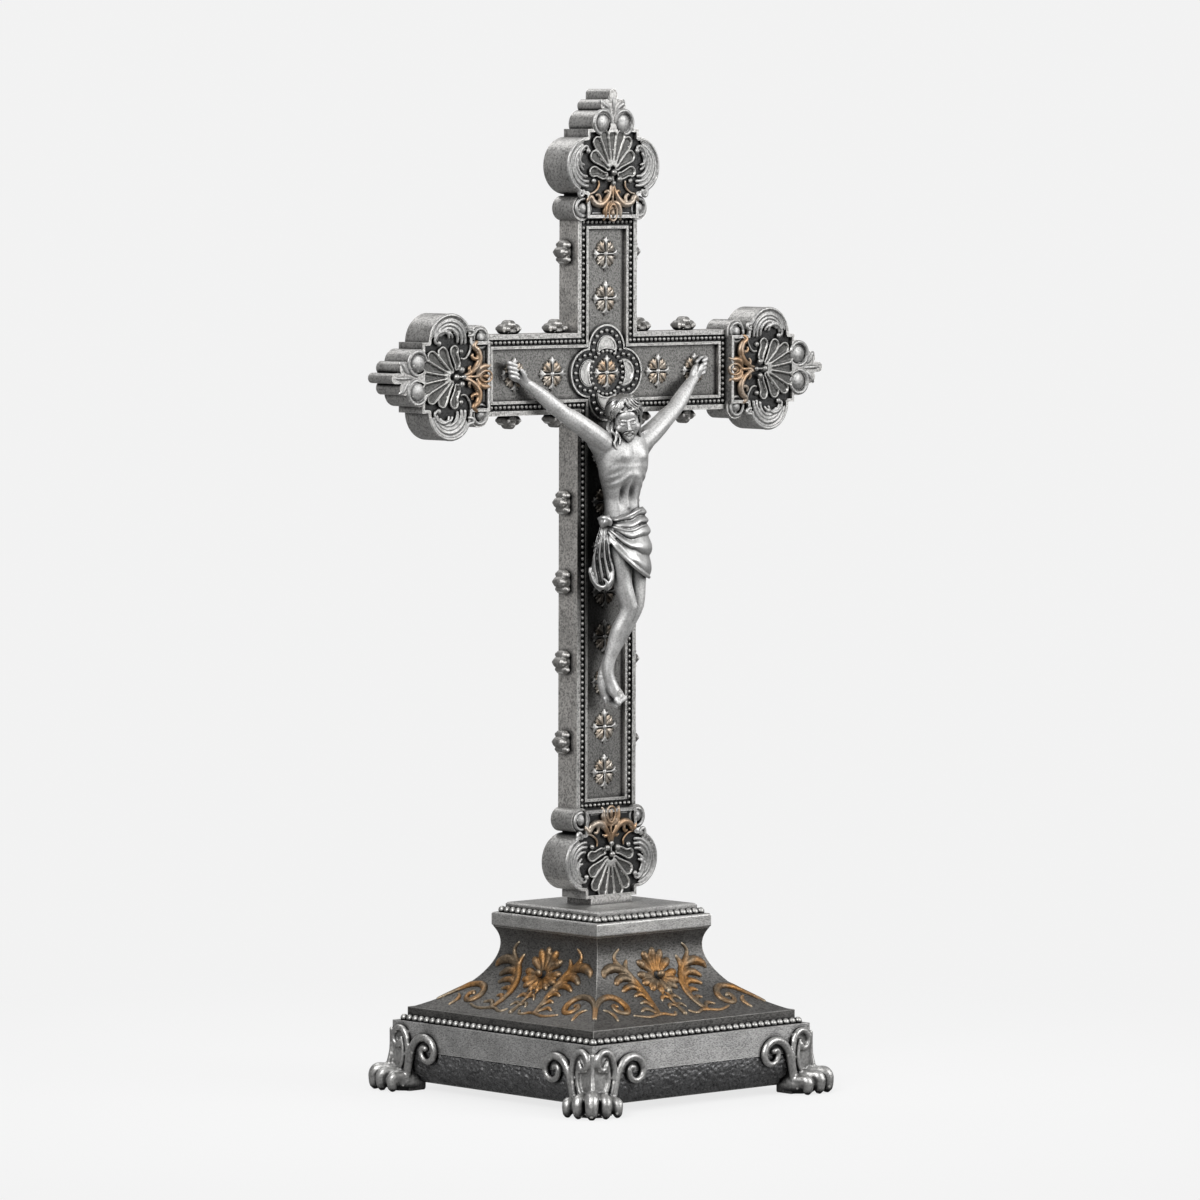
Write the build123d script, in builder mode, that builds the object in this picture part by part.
from build123d import *
import math
import os

os.makedirs("parts", exist_ok=True)

# Standing altar crucifix. X runs along the arms, the front faces -Y, and Z = 0 is the table under the paws.
# All sizes are in millimetres.

# Plinth
skirt_width = 88.6
foot_draw_in = 6.3
skirt_lift = 2.2
skirt_height = 18.7
fascia_height = 8.5
fascia_overhang = 0.9
band_bulge = 1.6
skirt_wall = 4.0
pocket_corner = 6.0

# Pedestal
lower_ledge = 3.2
slab_height = 4.0
slab_lip = 0.9
pedestal_height = 28.6
neck_height = 23.6
neck_inset = 1.6
flare_low = (0.57, 0.21)
flare_high = (0.11, 0.66)
cap_width = 46.6
cap_overhang = 0.3
cap_height = 4.2
cap_round = 0.7
upper_ledge = 3.0
platform_height = 3.0
platform_chamfer = 0.5

# Bead courses of the base
lower_bead = 1.9
lower_bead_pitch = 2.63
upper_bead = 2.0
upper_bead_pitch = 2.5
bead_rise = 0.8
bead_taper = 18

# Paw feet, with sizes along the corner's diagonal called reach
paw_reach = 7.3
paw_root = 6.0
paw_width = 13.0
paw_height = 8.0
ankle_width = 8.0
ankle_height = 10.0
toe_width = 3.3
toe_fan = 22.0
toe_round = 3.2
toe_setback = 1.5
toe_drop = 0.7
scroll_relief = 1.3
volute_radius = 3.5
volute_from_corner = 16.0
volute_height = 13.3
scroll_stem = 2.2
console_radius = 2.7
console_stem = 3.5
console_from_corner = 4.2
console_lean = 2.3
console_height = 16.0

# Fasteners of the base
rod_radius = 2.0
rod_clearance = 0.2
rod_bite = 14.0
rod_tail = 1.5
washer_radius = 6.0
washer_height = 1.0
nut_flats = 7.0
nut_height = 3.2
screw_radius = 1.5
screw_clearance = 0.1
screw_bite = 5.0
screw_height = 5.2
screw_head_radius = 2.75
screw_head_height = 2.0

# Cross
shaft_width = 24.0
shaft_depth = 8.2
back_plane = 6.2
upper_reach = 46.1
arm_reach = 49.1
lower_reach = 130.5
rim_width = 1.4
channel_width = 2.1
channel_depth = 0.9
end_channel = 2.4
fillet_width = 0.8
field_depth = 1.3
border_bead = 1.25
border_pitch = 1.77

# Finials, with sizes measured outwards from the end of the arm
finial_depth = 10.6
collar_depth = 9.2
finial_length = 38.3
tongue_length = 2.0
tongue_width = 16.4
volute_lobe = 3.65
volute_lobe_at = (11.35, 2.9)
side_lobe = 8.5
side_lobe_at = (10.1, 15.5)
ledge_width = 20.6
ledge_height = 3.0
ledge_top = 26.4
crown_lobe = 4.1
crown_lobe_at = (4.3, 27.9)
leaflet_radius = 2.0
leaflet_at = (2.9, 33.2)
tip_radius = 1.5
finial_rim = 0.9
finial_sink = 1.1
boss_rim = 0.9
boss_sink = 0.8

# Palmette and gilt bud on each finial
palmette_drop = 12.2
palmette_hub = 1.6
palmette_height = 1.0
petal_radius = 1.65
petal_rim = 0.45
petal_tips = ((0.0, 0.1), (3.9, 0.4), (6.6, 2.2), (8.5, 6.2), (8.3, 12.1))
bud_height = 0.9
bud_gap = 0.1
bud_top = 6.0
bud_petal = 1.15
bud_spread = 2.5
sprig_start = 9.4
sprig_rise = 5.4
sprig_width = 1.3

# Ornament on the cross
medallion_gap = 0.4
medallion_offset = 7.1
medallion_height = 0.6
medallion_rim = 0.45
medallion_rim_height = 1.0
medallion_disc = 4.0
medallion_bead = 1.2
lobe_beads = 9
lobe_bead_sweep = 188.0
ring_beads = 24
rosette_span = 10.2
rosette_height = 0.8
arm_rosettes = (21.5, 36.5)
upper_rosettes = (22.1, 35.4)
lower_rosette_first = 11.0
lower_rosette_pitch = 13.5
crocket_length = 7.2
crocket_depth = 5.5
crocket_reach = 4.3
crocket_back_gap = 0.7
# Places of the crockets, as shares of the reach that carries them
arm_crockets = (0.346, 0.723)
upper_crockets = (0.779,)
lower_crockets = (0.296, 0.477, 0.661, 0.844)

# Dowels and nails
dowel_radius = 1.5
dowel_length = 10.0
dowel_spacing = 10.0
nail_radius = 0.45
nail_head_radius = 0.95
nail_head_height = 0.6
nail_bite = 3.0

# Corpus, placed by its joints on the viewer's right or left of the middle
hand_out = 36.4
hand_rise = 0.0
hand_stand = 1.9
palm_half = 1.0
foot_stand = 8.2
foot_nail_drop = 95.4
foot_nail_side = -1.2

# Levels and widths that follow from the sizes above
skirt_half = skirt_width / 2
skirt_foot_width = skirt_width - 2 * foot_draw_in
skirt_top = skirt_lift + skirt_height
fascia_bottom = skirt_top - fascia_height
slab_half = skirt_half - lower_ledge
slab_top = skirt_top + slab_height
pedestal_top = skirt_top + pedestal_height
cap_half = cap_width / 2
neck_half = cap_half - cap_overhang - neck_inset
cap_top = pedestal_top + cap_height
platform_half = cap_half - upper_ledge
platform_top = cap_top + platform_height
corner = skirt_half * math.sqrt(2)
finial_foot = ledge_top + tongue_length
centre = platform_top + finial_foot + lower_reach
front_plane = back_plane - shaft_depth
field_plane = front_plane + field_depth
shaft_half = shaft_width / 2
field_half = shaft_half - rim_width - channel_width - fillet_width
bead_inset = rim_width + channel_width / 2
bead_end_inset = end_channel / 2


def save(piece, name):
    piece.part.label = name
    export_step(piece.part, f"parts/{name}.step")


def diagonal_plane(height):
    """Level plane whose x runs out along the front right corner's diagonal."""
    return Plane(origin=(0, 0, height), x_dir=(1, -1, 0), z_dir=(0, 0, 1))


def arm_plane(end, reach, depth_from_back):
    """Plane on an end of the cross: x across the arm, y outwards along it, z to the front."""
    outward = {"top": (0, 1), "right": (1, 0), "bottom": (0, -1), "left": (-1, 0)}[end]
    across = (outward[1], 0, -outward[0])
    origin = (outward[0] * reach, back_plane - depth_from_back, centre + outward[1] * reach)
    return Plane(origin=origin, x_dir=across, z_dir=(0, -1, 0))


def row_points(start, stop, pitch):
    """Evenly spaced points from start up to, but not including, stop."""
    count = max(1, round(math.dist(start, stop) / pitch))
    return [
        (
            start[0] + (stop[0] - start[0]) * index / count,
            start[1] + (stop[1] - start[1]) * index / count,
        )
        for index in range(count)
    ]


def loop_points(corners, pitch):
    """Bead places round a closed outline."""
    points = []
    for start, stop in zip(corners, corners[1:] + corners[:1]):
        points += row_points(start, stop, pitch)
    return points


# Plinth skirt: upright fascia over a bulging band, hollow underneath
def skirt_outline():
    band_half = skirt_half - fascia_overhang
    with BuildSketch() as outline:
        with BuildLine():
            Line((0, skirt_lift), (skirt_foot_width / 2, skirt_lift))
            SagittaArc((skirt_foot_width / 2, skirt_lift), (band_half, fascia_bottom), -band_bulge)
            Line((band_half, fascia_bottom), (skirt_half, fascia_bottom))
            Polyline((skirt_half, fascia_bottom), (skirt_half, skirt_top), (0, skirt_top))
            mirror(about=Plane.YZ)
        make_face()
    return outline.sketch


with BuildPart() as skirt_blank:
    for plane, mode in ((Plane.XZ, Mode.ADD), (Plane.YZ, Mode.INTERSECT)):
        with BuildSketch(plane):
            add(skirt_outline())
        extrude(amount=skirt_width, both=True, mode=mode)

pocket_half = skirt_foot_width / 2 - skirt_wall
pocket_top = skirt_top - skirt_wall
screw_seat = (2 * pocket_half - pocket_corner) / math.sqrt(2)
screw_tip = corner + screw_bite

with BuildPart() as plinth_skirt:
    add(skirt_blank.part)
    with BuildSketch(Plane.XY.offset(skirt_lift)):
        Rectangle(2 * pocket_half, 2 * pocket_half)
        chamfer(vertices(), length=pocket_corner)
    extrude(amount=pocket_top - skirt_lift, mode=Mode.SUBTRACT)
    with BuildSketch(Plane.XY.offset(pocket_top)):
        Circle(rod_radius + rod_clearance)
    extrude(amount=skirt_wall, mode=Mode.SUBTRACT)
    for turn in range(4):
        angle = math.radians(45 + 90 * turn)
        outward = (math.cos(angle), math.sin(angle), 0)
        with BuildSketch(Plane(origin=(0, 0, screw_height), x_dir=(0, 0, 1), z_dir=outward)):
            Circle(screw_radius + screw_clearance)
        extrude(amount=corner, mode=Mode.SUBTRACT)
save(plinth_skirt, "plinth_skirt")


# Pedestal: slab with a hollow-sided flare up to the neck
def pedestal_outline():
    run = slab_half - slab_lip - neck_half
    rise = neck_height - slab_height
    neck = (neck_half, skirt_top + neck_height)
    low = (neck_half + run * flare_low[0], slab_top + rise * flare_low[1])
    high = (neck_half + run * flare_high[0], slab_top + rise * flare_high[1])
    lip = (slab_half - slab_lip, slab_top)
    crest = (cap_half - cap_overhang, pedestal_top)
    with BuildSketch() as outline:
        with BuildLine():
            Polyline((0, skirt_top), (slab_half, skirt_top), (slab_half, slab_top), lip)
            Spline(lip, low, high, neck, crest)
            Line(crest, (0, pedestal_top))
            mirror(about=Plane.YZ)
        make_face()
    return outline.sketch


with BuildPart() as scotia_body:
    for plane, mode in ((Plane.XZ, Mode.ADD), (Plane.YZ, Mode.INTERSECT)):
        with BuildSketch(plane):
            add(pedestal_outline())
        extrude(amount=skirt_width, both=True, mode=mode)
    with BuildSketch(Plane.XY.offset(skirt_top)):
        Circle(rod_radius + rod_clearance)
    extrude(amount=pedestal_height, mode=Mode.SUBTRACT)
save(scotia_body, "scotia_body")

with BuildPart() as cap_block:
    with BuildSketch(Plane.XY.offset(pedestal_top)):
        Rectangle(cap_width, cap_width)
    extrude(amount=cap_height)
    fillet(cap_block.edges().filter_by(Axis.Z, reverse=True), radius=cap_round)
    with BuildSketch(Plane.XY.offset(pedestal_top)):
        Circle(rod_radius + rod_clearance)
    extrude(amount=cap_height, mode=Mode.SUBTRACT)
save(cap_block, "cap_block")

with BuildPart() as platform:
    with BuildSketch(Plane.XY.offset(cap_top)):
        Rectangle(2 * platform_half, 2 * platform_half)
    extrude(amount=platform_height)
    chamfer(platform.faces().sort_by(Axis.Z)[-1].edges(), length=platform_chamfer)
    with BuildSketch(Plane.XY.offset(cap_top)):
        Circle(rod_radius + rod_clearance)
    extrude(amount=platform_height, mode=Mode.SUBTRACT)
save(platform, "platform")


# Bead courses: every bead is a small faceted stud on its ledge
def square_course(half, diameter, pitch):
    """Bead places round a square ledge, just clear of the wall behind them."""
    line = half + diameter * math.sqrt(0.5) / 2
    return loop_points([(line, line), (-line, line), (-line, -line), (line, -line)], pitch)


def bead_stud(diameter):
    with BuildPart() as stud:
        with BuildSketch():
            RegularPolygon(radius=diameter / 2, side_count=4, rotation=45)
        extrude(amount=diameter * bead_rise, taper=bead_taper)
    return stud.part


with BuildPart() as lower_bead_course:
    with Locations(Plane.XY.offset(skirt_top)):
        with Locations(*square_course(slab_half, lower_bead, lower_bead_pitch)):
            add(bead_stud(lower_bead))
save(lower_bead_course, "lower_bead_course")

with BuildPart() as upper_bead_course:
    with Locations(Plane.XY.offset(cap_top)):
        with Locations(*square_course(platform_half, upper_bead, upper_bead_pitch)):
            add(bead_stud(upper_bead))
save(upper_bead_course, "upper_bead_course")


# Paw foot at the front right corner, shaped on one face and mirrored to the other
def toe(place):
    """Toe number place of five, counted from the middle one, with a round top and a round tip."""
    length = paw_root + paw_reach - abs(place) * toe_setback
    height = paw_height - abs(place) * toe_drop
    half = toe_width / 2
    heading = math.radians(-45 + place * toe_fan)
    along = (math.cos(heading), math.sin(heading), 0)
    across = (-along[1], along[0], 0)
    root = ((corner - paw_root) / math.sqrt(2), -(corner - paw_root) / math.sqrt(2), 0)
    with BuildPart() as one_toe:
        with BuildSketch(Plane(origin=root, x_dir=across, z_dir=along)):
            with Locations((0, (height - half) / 2)):
                Rectangle(toe_width, height - half)
            with Locations((0, height - half)):
                Circle(half)
        extrude(amount=length)
        with BuildSketch(Plane(origin=root, x_dir=along, z_dir=(along[1], -along[0], 0))):
            with BuildLine():
                Polyline((0, height), (0, 0), (length, 0), (length, height - toe_round))
                RadiusArc((length, height - toe_round), (length - toe_round, height), -toe_round)
                Line((length - toe_round, height), (0, height))
            make_face()
        extrude(amount=toe_width, both=True, mode=Mode.INTERSECT)
    return one_toe.part


def scroll_outline():
    """Outer volute with its stem, and the console beside the corner, seen square to a face."""
    volute_x = skirt_half - volute_from_corner
    console_x = skirt_half - console_from_corner
    stem_foot = skirt_half - console_from_corner - 2 * scroll_stem
    stem_top = volute_height + volute_radius
    with BuildSketch() as outline:
        with Locations((volute_x, volute_height)):
            Circle(volute_radius)
        with BuildLine():
            ThreePointArc(
                (volute_x, stem_top),
                ((volute_x + stem_foot) / 2 + scroll_stem, volute_height),
                (stem_foot + scroll_stem, skirt_lift),
            )
            Line((stem_foot + scroll_stem, skirt_lift), (stem_foot, skirt_lift))
            ThreePointArc(
                (stem_foot, skirt_lift),
                ((volute_x + stem_foot) / 2, volute_height - scroll_stem),
                (volute_x, stem_top - scroll_stem),
            )
            Line((volute_x, stem_top - scroll_stem), (volute_x, stem_top))
        make_face()
        with Locations((console_x, console_height)):
            Circle(console_radius)
        with Locations((console_x - console_lean, (console_height + skirt_lift) / 2)):
            Rectangle(console_stem, console_height - skirt_lift)
    return outline.sketch


with BuildPart() as foot:
    with BuildSketch(Plane.XZ.offset(skirt_foot_width / 2)):
        add(scroll_outline())
    extrude(amount=skirt_half + scroll_relief - skirt_foot_width / 2)
    mirror(about=Plane(origin=(0, 0, 0), z_dir=(1, 1, 0)))
    with BuildSketch(diagonal_plane(0)):
        with Locations((corner - paw_root / 2 + toe_round / 2, 0)):
            Rectangle(paw_root + toe_round, paw_width)
    with BuildSketch(diagonal_plane(ankle_height)):
        with Locations((corner - paw_root / 2, 0)):
            Rectangle(paw_root, ankle_width)
    loft()
    for place in range(-2, 3):
        add(toe(place))
    add(skirt_blank.part, mode=Mode.SUBTRACT)
    with BuildSketch(Plane(origin=(0, 0, screw_height), x_dir=(0, 0, 1), z_dir=(1, -1, 0))):
        Circle(screw_radius)
    extrude(amount=screw_tip, mode=Mode.SUBTRACT)

paw_names = ("front_right", "back_right", "back_left", "front_left")
for turn, place in enumerate(paw_names):
    with BuildPart() as paw_foot:
        add(foot.part, rotation=(0, 0, 90 * turn))
    save(paw_foot, f"paw_foot_{place}")

with BuildPart() as foot_screws:
    for turn in range(4):
        angle = math.radians(45 + 90 * turn)
        outward = (math.cos(angle), math.sin(angle), 0)
        seat = Plane(origin=(0, 0, screw_height), x_dir=(0, 0, 1), z_dir=outward).offset(screw_seat)
        with BuildSketch(seat):
            Circle(screw_radius)
        extrude(amount=screw_tip - screw_seat)
        with BuildSketch(seat):
            Circle(screw_head_radius)
        extrude(amount=-screw_head_height)
save(foot_screws, "foot_screws")

# Tie rod through the tiers, with washer and nut under the plinth's top wall
rod_bottom = pocket_top - washer_height - nut_height - rod_tail
rod_top = platform_top + rod_bite

with BuildPart() as tie_rod:
    with BuildSketch(Plane.XY.offset(rod_bottom)):
        Circle(rod_radius)
    extrude(amount=rod_top - rod_bottom)
save(tie_rod, "tie_rod")

with BuildPart() as tie_rod_washer:
    with BuildSketch(Plane.XY.offset(pocket_top - washer_height)):
        Circle(washer_radius)
        Circle(rod_radius + rod_clearance, mode=Mode.SUBTRACT)
    extrude(amount=washer_height)
save(tie_rod_washer, "tie_rod_washer")

with BuildPart() as tie_rod_nut:
    with BuildSketch(Plane.XY.offset(pocket_top - washer_height - nut_height)):
        RegularPolygon(radius=nut_flats / 2, side_count=6, major_radius=False)
        Circle(rod_radius, mode=Mode.SUBTRACT)
    extrude(amount=nut_height)
save(tie_rod_nut, "tie_rod_nut")


# Cross body: rim, bead channel, inner fillet and sunk field
def cross_outline(side_inset, end_inset):
    width = shaft_width - 2 * side_inset
    upper = upper_reach - end_inset
    lower = lower_reach - end_inset
    Rectangle(2 * (arm_reach - end_inset), width)
    with Locations((0, (upper - lower) / 2)):
        Rectangle(width, upper + lower)


def dowel_holes(end, reach):
    """Places of the two dowels in an end of the cross, seen along the arm."""
    plane = arm_plane(end, reach, shaft_depth / 2)
    return Plane(origin=plane.origin, x_dir=plane.x_dir, z_dir=plane.y_dir)


arm_ends = (("top", upper_reach), ("right", arm_reach), ("bottom", lower_reach), ("left", arm_reach))
hand_places = ((-hand_out, hand_rise), (hand_out, hand_rise))
foot_place = (foot_nail_side, -foot_nail_drop)
cross_front = Plane(origin=(0, front_plane, centre), x_dir=(1, 0, 0), z_dir=(0, -1, 0))
cross_field = cross_front.offset(-field_depth)

with BuildPart() as cross_body:
    with BuildSketch(cross_front):
        cross_outline(0, 0)
    extrude(amount=-shaft_depth)
    with BuildSketch(cross_front):
        cross_outline(rim_width, -end_channel)
        with BuildSketch(mode=Mode.SUBTRACT):
            cross_outline(rim_width + channel_width, end_channel)
    extrude(amount=-channel_depth, mode=Mode.SUBTRACT)
    with BuildSketch(cross_front):
        cross_outline(shaft_half - field_half, end_channel + fillet_width)
    extrude(amount=-field_depth, mode=Mode.SUBTRACT)
    for end, reach in arm_ends:
        with BuildSketch(dowel_holes(end, reach)):
            with GridLocations(dowel_spacing, 1, 2, 1):
                Circle(dowel_radius)
        extrude(amount=-dowel_length / 2, mode=Mode.SUBTRACT)
    with BuildSketch(cross_field):
        with Locations(*hand_places, foot_place):
            Circle(nail_radius)
    extrude(amount=-nail_bite, mode=Mode.SUBTRACT)
save(cross_body, "cross_body")

with BuildPart() as finial_dowels:
    for end, reach in arm_ends:
        with BuildSketch(dowel_holes(end, reach)):
            with GridLocations(dowel_spacing, 1, 2, 1):
                Circle(dowel_radius)
        extrude(amount=dowel_length / 2, both=True)
save(finial_dowels, "finial_dowels")


# Border beads: small pyramids in the channel all round the cross
def border_corners():
    side = shaft_half - bead_inset
    arm = arm_reach - bead_end_inset
    upper = upper_reach - bead_end_inset
    lower = lower_reach - bead_end_inset
    right = [(side, side), (arm, side), (arm, -side), (side, -side), (side, -lower)]
    left = [(-side, -lower), (-side, -side), (-arm, -side), (-arm, side), (-side, side), (-side, upper)]
    return right + left + [(side, upper)]


with BuildPart() as border_beads:
    with Locations(cross_front.offset(-channel_depth)):
        with Locations(*loop_points(border_corners(), border_pitch)):
            add(bead_stud(border_bead))
save(border_beads, "border_beads")


# Finials: lobed plate with a proud ledge and a crown, hollowed to a sunk field
def both_sides(place):
    return [(place[0], place[1]), (-place[0], place[1])]


def finial_body():
    with Locations(*both_sides(side_lobe_at)):
        Circle(side_lobe)
    with Locations((0, ledge_top - ledge_height / 2)):
        Rectangle(ledge_width, ledge_height)
    with Locations((0, ledge_top / 2)):
        Rectangle(ledge_width, ledge_top)


def finial_crown():
    with Locations(*both_sides(crown_lobe_at)):
        Circle(crown_lobe)
    with Locations(*both_sides(leaflet_at)):
        Circle(leaflet_radius)
    stem_top = finial_length - tip_radius
    with Locations((0, (ledge_top + stem_top) / 2)):
        Rectangle(2 * tip_radius, stem_top - ledge_top)
    with Locations((0, stem_top)):
        Circle(tip_radius)
    with Locations((0, (crown_lobe_at[1] + leaflet_at[1]) / 2)):
        Rectangle(2 * leaflet_at[0], leaflet_at[1] - crown_lobe_at[1])


def finial_tongue():
    with Locations((0, ledge_top + tongue_length / 2)):
        Rectangle(tongue_width, tongue_length)


for end, reach in arm_ends:
    back = arm_plane(end, reach, 0)
    front = back.offset(finial_depth)
    standing = end == "bottom"
    with BuildPart() as finial:
        with BuildSketch(back):
            finial_body()
            if standing:
                finial_tongue()
            else:
                finial_crown()
        extrude(amount=finial_depth)
        with BuildSketch(back):
            with Locations(*both_sides(volute_lobe_at)):
                Circle(volute_lobe)
        extrude(amount=collar_depth)
        with BuildSketch(front):
            finial_body()
            offset(amount=-finial_rim, mode=Mode.REPLACE)
        extrude(amount=-finial_sink, mode=Mode.SUBTRACT)
        with BuildSketch(back.offset(collar_depth)):
            with Locations(*both_sides(volute_lobe_at)):
                Circle(volute_lobe - boss_rim)
                Circle((volute_lobe - boss_rim) / 2, mode=Mode.SUBTRACT)
        extrude(amount=-boss_sink, mode=Mode.SUBTRACT)
        if not standing:
            with BuildSketch(front):
                with Locations(*both_sides(crown_lobe_at)):
                    Circle(crown_lobe - boss_rim)
                    Circle((crown_lobe - boss_rim) / 2, mode=Mode.SUBTRACT)
            extrude(amount=-boss_sink, mode=Mode.SUBTRACT)
        with BuildSketch(back):
            with Locations((0, -volute_lobe)):
                Rectangle(shaft_width, 2 * volute_lobe)
        extrude(amount=shaft_depth, mode=Mode.SUBTRACT)
        with BuildSketch(dowel_holes(end, reach)):
            with GridLocations(dowel_spacing, 1, 2, 1):
                Circle(dowel_radius)
        extrude(amount=dowel_length / 2, mode=Mode.SUBTRACT)
        if standing:
            with BuildSketch(Plane.XY.offset(platform_top)):
                Circle(rod_radius)
            extrude(amount=rod_bite, mode=Mode.SUBTRACT)
    save(finial, f"finial_{end}")


# Palmette: fan of hollow petals from one root
def petal(root, tip, radius):
    """Teardrop from a root point to a round tip."""
    length = math.dist(root, tip) - radius
    heading = math.atan2(tip[1] - root[1], tip[0] - root[0])
    swing = math.asin(radius / length)
    side = math.sqrt(length**2 - radius**2)
    low = (root[0] + side * math.cos(heading - swing), root[1] + side * math.sin(heading - swing))
    high = (root[0] + side * math.cos(heading + swing), root[1] + side * math.sin(heading + swing))
    with BuildSketch() as outline:
        with BuildLine():
            Line(root, low)
            ThreePointArc(low, tip, high)
            Line(high, root)
        make_face()
    return outline.sketch


field_top = ledge_top - finial_rim
palmette_root = (0, field_top - palmette_drop)
right_tips = [(across, field_top - drop) for across, drop in petal_tips]
left_tips = [(-across, along) for across, along in right_tips[1:]]


finial_floor = finial_depth - finial_sink
for end, reach in arm_ends:
    floor = arm_plane(end, reach, finial_floor)
    with BuildPart() as palmette:
        with BuildSketch(floor):
            with Locations(palmette_root):
                Circle(palmette_hub)
            for tip in left_tips + right_tips:
                add(petal(palmette_root, tip, petal_radius))
        extrude(amount=palmette_height)
        for tip in left_tips + right_tips:
            with BuildSketch(floor.offset(palmette_height)):
                add(petal(palmette_root, tip, petal_radius))
                offset(amount=-petal_rim, mode=Mode.REPLACE)
            extrude(amount=-palmette_height / 2, mode=Mode.SUBTRACT)
    save(palmette, f"palmette_{end}")


# Gilt bud: tulip of three petals with a leaf sprig to each side
def sprig(side):
    start = (0, sprig_start)
    reach_out = ledge_width / 2 - finial_rim - bud_gap
    stop = (side * reach_out, sprig_rise)
    middle = (side * reach_out / 2, sprig_rise)
    with BuildSketch() as outline:
        with BuildLine():
            ThreePointArc(start, middle, stop)
            ThreePointArc(stop, (middle[0], middle[1] - sprig_width), (0, sprig_start - 2 * sprig_width))
            Line((0, sprig_start - 2 * sprig_width), start)
        make_face()
    return outline.sketch


for end, reach in arm_ends:
    floor = arm_plane(end, reach, finial_floor)
    with BuildPart() as gilt_bud:
        with BuildSketch(floor):
            add(sprig(1))
            add(sprig(-1))
            for lean in (-1, 0, 1):
                add(petal((0, finial_rim + bud_gap), (lean * bud_spread, bud_top - abs(lean) * bud_petal), bud_petal))
        extrude(amount=bud_height)
    save(gilt_bud, f"gilt_bud_{end}")

# Medallion: quatrefoil plate with a rim and four polished discs, and its beads
lobe_radius = field_half - medallion_gap
lobe_places = [(medallion_offset, 0), (0, medallion_offset), (-medallion_offset, 0), (0, -medallion_offset)]
bead_lobe = (lobe_radius - medallion_rim + medallion_disc) / 2


def quatrefoil(radius):
    Circle(medallion_offset)
    with Locations(*lobe_places):
        Circle(radius)


with BuildPart() as medallion:
    with BuildSketch(cross_field):
        quatrefoil(lobe_radius)
    extrude(amount=medallion_height)
    with BuildSketch(cross_field):
        quatrefoil(lobe_radius)
        with BuildSketch(mode=Mode.SUBTRACT):
            quatrefoil(lobe_radius - medallion_rim)
    extrude(amount=medallion_rim_height)
    with BuildSketch(cross_field):
        with Locations(*lobe_places):
            Circle(medallion_disc)
        Circle(medallion_offset, mode=Mode.SUBTRACT)
    extrude(amount=medallion_rim_height)
save(medallion, "medallion")

ring_radius = medallion_offset - medallion_bead / 2
lobe_angles = [lobe_bead_sweep * (index / (lobe_beads - 1) - 0.5) for index in range(lobe_beads)]
with BuildPart() as medallion_beads:
    places = []
    for turn, lobe in enumerate(lobe_places):
        for angle in lobe_angles:
            aim = math.radians(angle + 90 * turn)
            places.append((lobe[0] + bead_lobe * math.cos(aim), lobe[1] + bead_lobe * math.sin(aim)))
    for index in range(ring_beads):
        aim = 2 * math.pi * index / ring_beads
        places.append((ring_radius * math.cos(aim), ring_radius * math.sin(aim)))
    with Locations(cross_field.offset(medallion_height)):
        with Locations(*places):
            add(bead_stud(medallion_bead))
save(medallion_beads, "medallion_beads")


# Rosettes: four pointed arms and four notched quadrant petals
def rosette():
    unit = rosette_span / 2
    arm = [(0.0, 0.0), (0.1, 0.1), (0.1, 0.55), (0.26, 0.72), (0.0, 1.0), (-0.26, 0.72), (-0.1, 0.55), (-0.1, 0.1)]
    quadrant = [(0.0, 0.0), (0.22, 0.66), (0.44, 0.7), (0.5, 0.5), (0.7, 0.44), (0.66, 0.22)]
    with BuildSketch() as outline:
        with PolarLocations(0, 4):
            Polygon(*[(x * unit, y * unit) for x, y in arm], align=None)
            Polygon(*[(x * unit, y * unit) for x, y in quadrant], align=None)
    return outline.sketch


medallion_reach = medallion_offset + lobe_radius
lower_rosette_run = lower_reach - medallion_reach - rosette_span / 2 - lower_rosette_first
lower_rosette_count = 1 + int(lower_rosette_run / lower_rosette_pitch)
rosette_groups = {
    "rosettes_upper": [(0, rise) for rise in upper_rosettes],
    "rosettes_right_arm": [(out, 0) for out in arm_rosettes],
    "rosettes_left_arm": [(-out, 0) for out in arm_rosettes],
    "rosettes_lower": [
        (0, lower_rosette_first + lower_rosette_pitch * index - lower_reach) for index in range(lower_rosette_count)
    ],
}
for name, places in rosette_groups.items():
    with BuildPart() as rosettes:
        with BuildSketch(cross_field):
            with Locations(*places):
                add(rosette())
            with Locations(*hand_places, foot_place):
                Circle(nail_radius, mode=Mode.SUBTRACT)
        extrude(amount=rosette_height)
    save(rosettes, name)

with BuildPart() as rosette_centre:
    with BuildSketch(cross_field.offset(medallion_height)):
        add(rosette())
    extrude(amount=rosette_height)
save(rosette_centre, "rosette_centre")


# Crockets: trefoil buds along the edges
def crocket_outline():
    bud = crocket_length / 4
    with Locations((0, crocket_reach - bud)):
        Circle(bud)
    with Locations((-bud, bud), (bud, bud)):
        Circle(bud)
    with Locations((0, bud / 2)):
        Rectangle(2 * bud, bud)


def crocket_plane(outward, along):
    """Plane on the shaft's or an arm's edge, with y outwards, at the crocket's back."""
    edge = (outward[0] * shaft_half, outward[1] * shaft_half)
    run = (abs(outward[1]) * along, abs(outward[0]) * along)
    origin = (edge[0] + run[0], back_plane - crocket_back_gap, centre + edge[1] + run[1])
    return Plane(origin=origin, x_dir=(outward[1], 0, -outward[0]), z_dir=(0, -1, 0))


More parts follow.
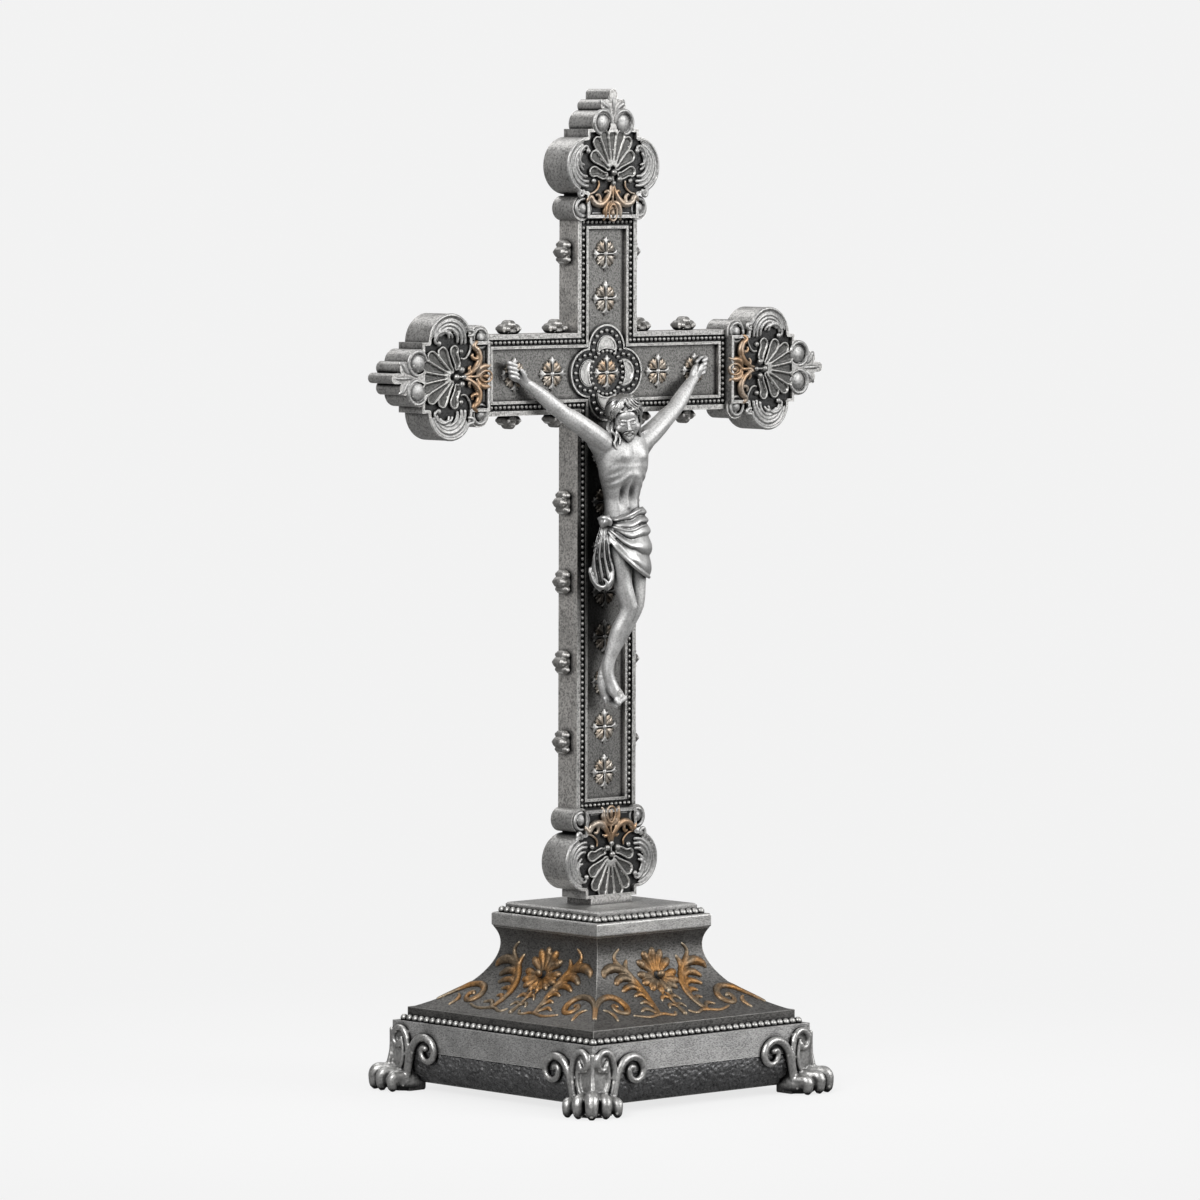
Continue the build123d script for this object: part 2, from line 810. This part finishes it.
shaft_crockets = [share * upper_reach for share in upper_crockets]
shaft_crockets += [-share * lower_reach for share in lower_crockets]
crocket_places = []
for label, side in (("left", -1), ("right", 1)):
    for index, along in enumerate(shaft_crockets):
        crocket_places.append((f"crocket_shaft_{label}_{index + 1}", (side, 0), along))
    for index, out in enumerate([share * arm_reach for share in arm_crockets]):
        crocket_places.append((f"crocket_arm_{label}_top_{index + 1}", (0, 1), side * out))
        crocket_places.append((f"crocket_arm_{label}_under_{index + 1}", (0, -1), side * out))
for name, outward, along in crocket_places:
    with BuildPart() as crocket:
        with BuildSketch(crocket_plane(outward, along)):
            crocket_outline()
        extrude(amount=crocket_depth)
    save(crocket, name)


# Corpus: rounded limbs lofted through ellipses along each limb
def limb(stations):
    """Loft through stations of (point, half width, half depth), square to the run of the points."""
    points = [Vector(*point) for point, _, _ in stations]
    with BuildPart() as shape:
        for index, (_, half_width, half_depth) in enumerate(stations):
            before = points[max(index - 1, 0)]
            after = points[min(index + 1, len(points) - 1)]
            run = (after - before).normalized()
            side = run.cross(Vector(0, 1, 0)).normalized()
            with BuildSketch(Plane(origin=points[index], x_dir=side, z_dir=run)):
                Ellipse(half_width, half_depth)
        loft(ruled=True)
    return shape.part


def at(side, stand, rise):
    """Point of the figure: sideways, out from the cross's field, and above the arms' middle line."""
    return (side, field_plane - stand, centre + rise)


torso = [
    (at(0.0, 8.0, -18.2), 5.6, 3.2),
    (at(0.0, 8.0, -21.0), 9.4, 4.6),
    (at(0.0, 8.4, -27.5), 8.6, 5.6),
    (at(0.2, 8.2, -35.0), 7.3, 5.0),
    (at(0.3, 8.0, -42.0), 6.9, 4.6),
    (at(0.3, 8.2, -50.0), 7.8, 5.4),
    (at(0.4, 8.8, -58.0), 6.6, 5.0),
]
loincloth = [
    (at(0.3, 8.2, -39.5), 7.4, 5.2),
    (at(0.3, 8.4, -46.0), 8.8, 6.2),
    (at(0.8, 9.2, -54.0), 8.9, 6.8),
    (at(1.8, 10.4, -62.0), 7.8, 6.6),
]
drape = [
    (at(-7.0, 9.2, -43.0), 1.8, 2.4),
    (at(-8.2, 9.6, -48.0), 2.2, 3.4),
    (at(-8.6, 9.4, -57.0), 2.2, 3.6),
    (at(-8.2, 9.2, -65.5), 2.6, 4.0),
]
head = [
    (at(-0.6, 8.4, -20.0), 2.7, 2.7),
    (at(-0.9, 9.6, -18.6), 3.0, 3.2),
    (at(-1.1, 10.2, -17.0), 4.2, 4.6),
    (at(-1.0, 10.0, -13.4), 5.0, 5.6),
    (at(-0.8, 9.6, -10.2), 4.6, 5.4),
    (at(-0.6, 9.2, -8.2), 2.8, 3.4),
]
hair = [
    (at(-0.6, 7.6, -20.6), 5.6, 3.4),
    (at(-0.7, 7.8, -15.6), 5.5, 4.2),
    (at(-0.7, 8.2, -9.6), 4.2, 3.8),
]


def arm_stations(side):
    return [
        (at(side * 6.0, 8.2, -20.6), 3.4, 3.0),
        (at(side * 10.0, 8.2, -18.4), 2.9, 2.7),
        (at(side * 16.5, 7.4, -14.8), 2.3, 2.2),
        (at(side * 22.6, 6.4, -11.2), 2.0, 1.9),
        (at(side * 26.6, 5.4, -8.0), 2.1, 1.8),
        (at(side * 33.0, hand_stand + 0.9, -2.8), 1.3, 1.1),
        (at(side * hand_out, hand_stand, hand_rise), 1.9, 1.0),
        (at(side * (hand_out + 2.8), hand_stand, hand_rise + 2.2), 1.4, 0.8),
    ]


front_leg = [
    (at(-3.0, 8.8, -50.0), 4.4, 4.8),
    (at(-2.0, 9.9, -57.0), 3.6, 4.0),
    (at(-0.5, 10.7, -65.0), 2.8, 3.1),
    (at(0.0, 10.8, -69.6), 2.6, 2.9),
    (at(-0.8, 8.8, -76.0), 2.5, 2.8),
    (at(-2.2, 6.6, -83.5), 2.1, 2.3),
    (at(-3.2, 5.7, -89.0), 1.7, 2.0),
    (at(foot_nail_side, 6.2, -foot_nail_drop + 0.6), 2.3, 1.9),
    (at(0.6, 9.0, -99.4), 2.4, 1.2),
]
rear_leg = [
    (at(3.6, 8.8, -50.0), 4.4, 4.8),
    (at(3.8, 9.4, -57.0), 3.6, 4.0),
    (at(4.2, 9.7, -65.0), 2.8, 3.0),
    (at(4.0, 9.4, -69.6), 2.6, 2.8),
    (at(2.6, 7.4, -76.0), 2.5, 2.7),
    (at(-0.4, 4.9, -83.5), 2.0, 2.1),
    (at(-2.4, 3.6, -89.5), 1.7, 1.8),
    (at(foot_nail_side, 2.8, -foot_nail_drop - 0.6), 2.2, 1.7),
    (at(-1.5, 4.2, -101.2), 2.3, 1.1),
]
nail_places = {
    "hand_nail_left": (hand_places[0], hand_stand + palm_half),
    "hand_nail_right": (hand_places[1], hand_stand + palm_half),
    "foot_nail": (foot_place, foot_stand),
}

with BuildPart() as corpus:
    for stations in (torso, loincloth, drape, front_leg, rear_leg, arm_stations(-1), arm_stations(1), hair, head):
        add(limb(stations))
    for place, stand in nail_places.values():
        with BuildSketch(cross_field):
            with Locations(place):
                Circle(nail_radius)
        extrude(amount=2 * stand, mode=Mode.SUBTRACT)
        with BuildSketch(cross_field.offset(stand)):
            with Locations(place):
                Circle(nail_head_radius)
        extrude(amount=stand, mode=Mode.SUBTRACT)
save(corpus, "corpus")

for name, (place, stand) in nail_places.items():
    with BuildPart() as nail:
        with BuildSketch(cross_field.offset(-nail_bite)):
            with Locations(place):
                Circle(nail_radius)
        extrude(amount=nail_bite + stand)
        with BuildSketch(cross_field.offset(stand)):
            with Locations(place):
                Circle(nail_head_radius)
        extrude(amount=nail_head_height)
    save(nail, name)
